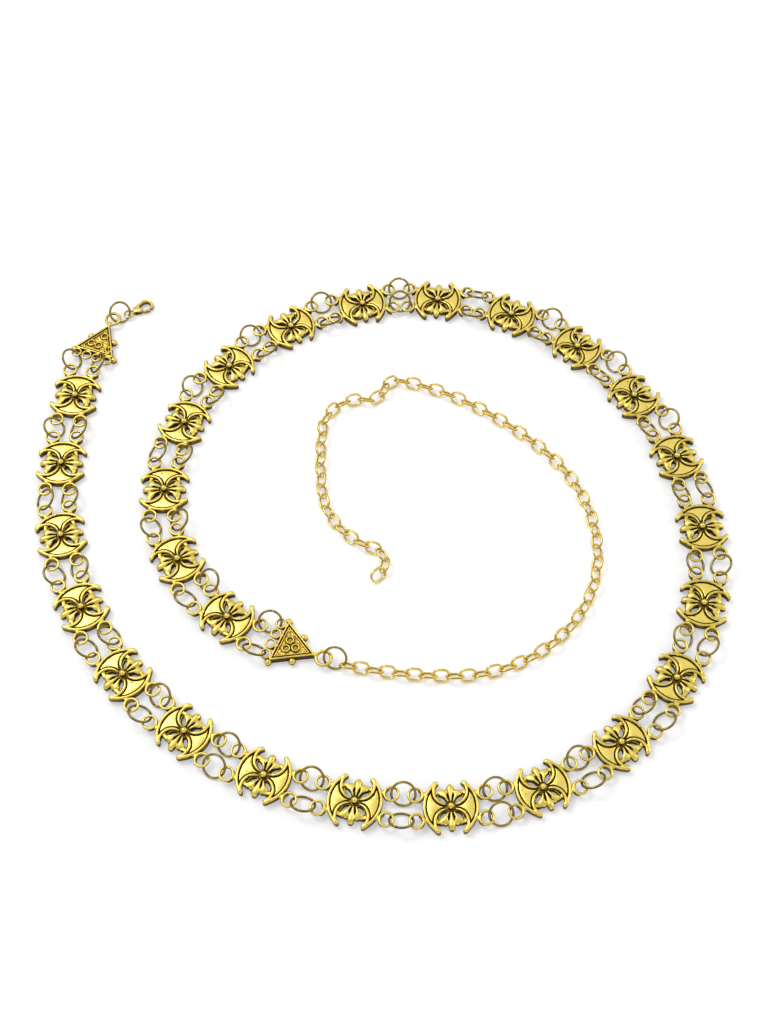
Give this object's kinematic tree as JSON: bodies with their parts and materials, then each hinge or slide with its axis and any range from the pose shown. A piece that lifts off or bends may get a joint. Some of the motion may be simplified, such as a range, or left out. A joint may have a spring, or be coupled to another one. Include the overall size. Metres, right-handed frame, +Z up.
{
  "type": "waist chain",
  "caption": "Antique gold waist chain: pierced winged plaques joined by paired jump rings, triangular end plates, lever clasp and cable extension chain.",
  "frame": {"origin": "middle of the laid-out chain on the surface it lies on", "axes": "+X to the right of the laid-out chain and its longest side, +Y away from the viewer, +Z up off the surface"},
  "size_m": [0.2676, 0.2408, 0.0078],
  "materials": {
    "plaque_gold": "antique, dotted field dark in the recesses",
    "plate_gold": "antique, granulated field",
    "ring_gold": "drawn wire, soft shine",
    "clasp_gold": "polished",
    "link_gold": "round wire, soft shine"
  },
  "bodies": {
    "chain": {"plaque_01": "plaque_gold", "plaque_02": "plaque_gold", "plaque_03": "plaque_gold", "plaque_04": "plaque_gold", "plaque_05": "plaque_gold", "plaque_06": "plaque_gold", "plaque_07": "plaque_gold", "plaque_08": "plaque_gold", "plaque_09": "plaque_gold", "plaque_10": "plaque_gold", "plaque_11": "plaque_gold", "plaque_12": "plaque_gold", "plaque_13": "plaque_gold", "plaque_14": "plaque_gold", "plaque_15": "plaque_gold", "plaque_16": "plaque_gold", "plaque_17": "plaque_gold", "plaque_18": "plaque_gold", "plaque_19": "plaque_gold", "plaque_20": "plaque_gold", "plaque_21": "plaque_gold", "plaque_22": "plaque_gold", "plaque_23": "plaque_gold", "plaque_24": "plaque_gold", "plaque_25": "plaque_gold", "plaque_26": "plaque_gold", "clasp_end_plate": "plate_gold", "chain_end_plate": "plate_gold", "outer_jump_rings": "ring_gold", "inner_jump_rings": "ring_gold", "clasp_ring": "ring_gold", "extension_ring": "ring_gold", "clasp_body": "clasp_gold", "extension_chain_near": "link_gold", "extension_chain_far": "link_gold"},
    "lever": {"clasp_lever": "clasp_gold"}
  },
  "joints": [
    {"name": "lever_pivot", "type": "hinge", "parent": "chain", "child": "lever", "pos_m": [-0.10202, 0.10549, 0.0013], "axis": [0, 0, 1], "range_deg": [0, 25], "stiffness_Nm_per_rad": 0.001}
  ]
}
